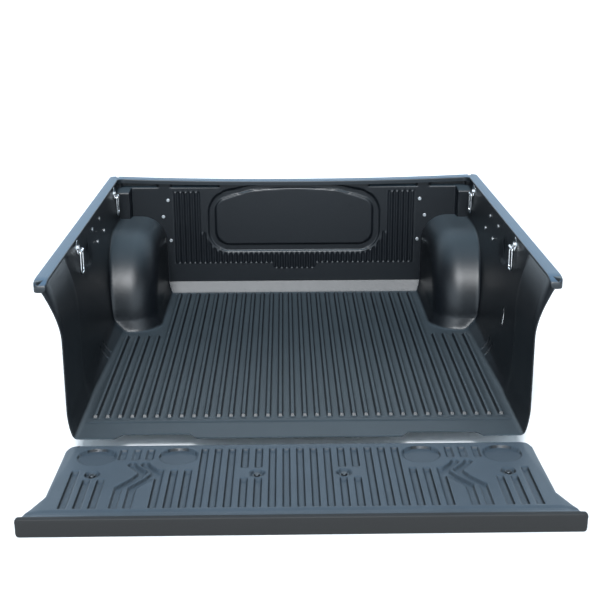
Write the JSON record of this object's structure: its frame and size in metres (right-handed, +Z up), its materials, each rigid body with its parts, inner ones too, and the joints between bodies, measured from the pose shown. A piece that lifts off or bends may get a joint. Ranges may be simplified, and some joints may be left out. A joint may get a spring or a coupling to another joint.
{
  "type": "truck bed liner",
  "caption": "Drop-in ribbed plastic tub for a pickup bed with wheel arches, rail and header caps, swinging tie-down loops and a hinged tailgate liner.",
  "frame": {"origin": "middle of the underside of the bed floor, half way along its length", "axes": "+Y towards the cab, +Z up, +X to the right when looking forward"},
  "size_m": [1.534, 2.0405, 0.5505],
  "materials": {
    "liner_plastic": "fine-grained matte charcoal polyethylene",
    "cap_plastic": "smooth satin charcoal plastic",
    "chrome": "polished",
    "zinc_steel": "zinc plated"
  },
  "bodies": {
    "liner": {"tub_liner": "liner_plastic", "header_cap": "cap_plastic", "rail_cap_left": "cap_plastic", "rail_cap_right": "cap_plastic", "rail_clips": "zinc_steel", "side_screws_left": "zinc_steel", "side_screws_right": "zinc_steel", "side_screw_clips_left": "zinc_steel", "side_screw_clips_right": "zinc_steel", "front_wall_screws": "zinc_steel", "front_wall_screw_clips": "zinc_steel", "tie_down_bolts": "zinc_steel", "tie_down_backing_plates": "zinc_steel", "tie_down_plate_rear_left": "chrome", "tie_down_plate_rear_right": "chrome", "tie_down_plate_front_left": "chrome", "tie_down_plate_front_right": "chrome"},
    "tailgate": {"tailgate_liner": "liner_plastic", "tailgate_top_cap": "cap_plastic", "tailgate_bolts": "zinc_steel", "tailgate_washers": "zinc_steel", "tailgate_nuts": "zinc_steel"},
    "ring_rear_left": {"tie_down_ring_rear_left": "chrome"},
    "ring_rear_right": {"tie_down_ring_rear_right": "chrome"},
    "ring_front_left": {"tie_down_ring_front_left": "chrome"},
    "ring_front_right": {"tie_down_ring_front_right": "chrome"}
  },
  "joints": [
    {"name": "tailgate_hinge", "type": "hinge", "parent": "liner", "child": "tailgate", "pos_m": [0, -0.7685, -0.012], "axis": [-1, 0, 0], "range_deg": [0, 90]},
    {"name": "ring_rear_left_hinge", "type": "hinge", "parent": "liner", "child": "ring_rear_left", "pos_m": [-0.71786, -0.2225, 0.44565], "axis": [0, -1, 0], "range_deg": [0, 120]},
    {"name": "ring_rear_right_hinge", "type": "hinge", "parent": "liner", "child": "ring_rear_right", "pos_m": [0.71786, -0.2225, 0.44565], "axis": [0, 1, 0], "range_deg": [0, 120]},
    {"name": "ring_front_left_hinge", "type": "hinge", "parent": "liner", "child": "ring_front_left", "pos_m": [-0.71786, 0.6375, 0.44565], "axis": [0, -1, 0], "range_deg": [0, 120]},
    {"name": "ring_front_right_hinge", "type": "hinge", "parent": "liner", "child": "ring_front_right", "pos_m": [0.71786, 0.6375, 0.44565], "axis": [0, 1, 0], "range_deg": [0, 120]}
  ]
}
